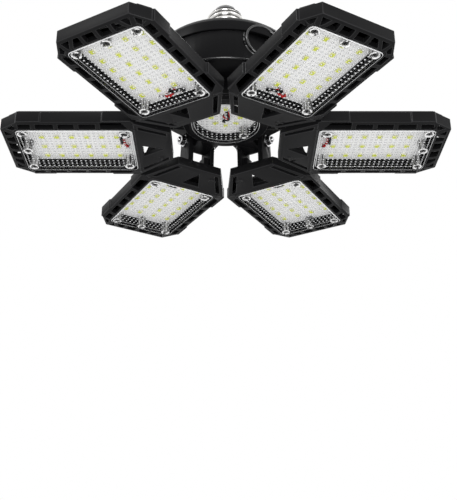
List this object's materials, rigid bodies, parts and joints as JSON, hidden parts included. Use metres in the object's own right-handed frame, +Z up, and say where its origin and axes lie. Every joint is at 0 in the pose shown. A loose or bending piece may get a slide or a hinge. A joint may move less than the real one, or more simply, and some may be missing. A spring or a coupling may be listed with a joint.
{
  "type": "deformable garage light",
  "caption": "Screw-in garage light with a vented black hub, folding light panels on bolted hinges and a small round light in the centre.",
  "frame": {"origin": "on the hub's axis, at the lower end of the screw shell, where the lampholder's rim ends up", "axes": "+Z up along the lamp base towards its contact, +X along the middle of panel 2, the panels lie flat in XY"},
  "size_m": [0.2848, 0.2706, 0.1186],
  "materials": {
    "base_metal": "bright nickel plate",
    "contact_metal": "satin",
    "base_glass": "gloss black glass",
    "collar_plastic": "gloss",
    "black_plastic": "satin black",
    "black_metal": "satin black paint",
    "steel": "zinc plate",
    "clear_lens": "clear, dimpled inside",
    "white_board": "white solder mask",
    "led": "yellow phosphor",
    "green_board": "solder mask",
    "driver_black": "matt",
    "cable_black": "matt sleeve"
  },
  "bodies": {
    "hub": {"lamp_base_shell": "base_metal", "lamp_base_insulator": "base_glass", "lamp_base_contact": "contact_metal", "base_collar": "collar_plastic", "vented_cap": "black_plastic", "drum_housing": "black_plastic", "side_port_plug": "black_plastic", "hinge_carrier": "black_plastic", "hinge_bolts": "steel", "hinge_nuts": "steel", "centre_lens": "clear_lens", "centre_light_board": "white_board", "centre_leds": "led", "driver_board": "green_board", "driver_parts": "driver_black"},
    "panel_1": {"panel_1_frame": "black_plastic", "panel_1_heat_sink": "black_metal", "panel_1_light_board": "white_board", "panel_1_leds": "led", "panel_1_lens": "clear_lens", "panel_1_cable": "cable_black"},
    "panel_2": {"panel_2_frame": "black_plastic", "panel_2_heat_sink": "black_metal", "panel_2_light_board": "white_board", "panel_2_leds": "led", "panel_2_lens": "clear_lens", "panel_2_cable": "cable_black"},
    "panel_3": {"panel_3_frame": "black_plastic", "panel_3_heat_sink": "black_metal", "panel_3_light_board": "white_board", "panel_3_leds": "led", "panel_3_lens": "clear_lens", "panel_3_cable": "cable_black"},
    "panel_4": {"panel_4_frame": "black_plastic", "panel_4_heat_sink": "black_metal", "panel_4_light_board": "white_board", "panel_4_leds": "led", "panel_4_lens": "clear_lens", "panel_4_cable": "cable_black"},
    "panel_5": {"panel_5_frame": "black_plastic", "panel_5_heat_sink": "black_metal", "panel_5_light_board": "white_board", "panel_5_leds": "led", "panel_5_lens": "clear_lens", "panel_5_cable": "cable_black"},
    "panel_6": {"panel_6_frame": "black_plastic", "panel_6_heat_sink": "black_metal", "panel_6_light_board": "white_board", "panel_6_leds": "led", "panel_6_lens": "clear_lens", "panel_6_cable": "cable_black"}
  },
  "joints": [
    {"name": "panel_1_fold", "type": "hinge", "parent": "hub", "child": "panel_1", "pos_m": [0.0215, -0.03724, -0.0625], "axis": [-0.866, -0.5, 0], "range_deg": [0, 90], "deforming": ["panel_1_cable"]},
    {"name": "panel_2_fold", "type": "hinge", "parent": "hub", "child": "panel_2", "pos_m": [0.043, 0, -0.0625], "axis": [0, -1, 0], "range_deg": [0, 90], "deforming": ["panel_2_cable"]},
    {"name": "panel_3_fold", "type": "hinge", "parent": "hub", "child": "panel_3", "pos_m": [0.0215, 0.03724, -0.0625], "axis": [0.866, -0.5, 0], "range_deg": [0, 90], "deforming": ["panel_3_cable"]},
    {"name": "panel_4_fold", "type": "hinge", "parent": "hub", "child": "panel_4", "pos_m": [-0.0215, 0.03724, -0.0625], "axis": [0.866, 0.5, 0], "range_deg": [0, 90], "deforming": ["panel_4_cable"]},
    {"name": "panel_5_fold", "type": "hinge", "parent": "hub", "child": "panel_5", "pos_m": [-0.043, 0, -0.0625], "axis": [0, 1, 0], "range_deg": [0, 90], "deforming": ["panel_5_cable"]},
    {"name": "panel_6_fold", "type": "hinge", "parent": "hub", "child": "panel_6", "pos_m": [-0.0215, -0.03724, -0.0625], "axis": [-0.866, 0.5, 0], "range_deg": [0, 90], "deforming": ["panel_6_cable"]}
  ]
}
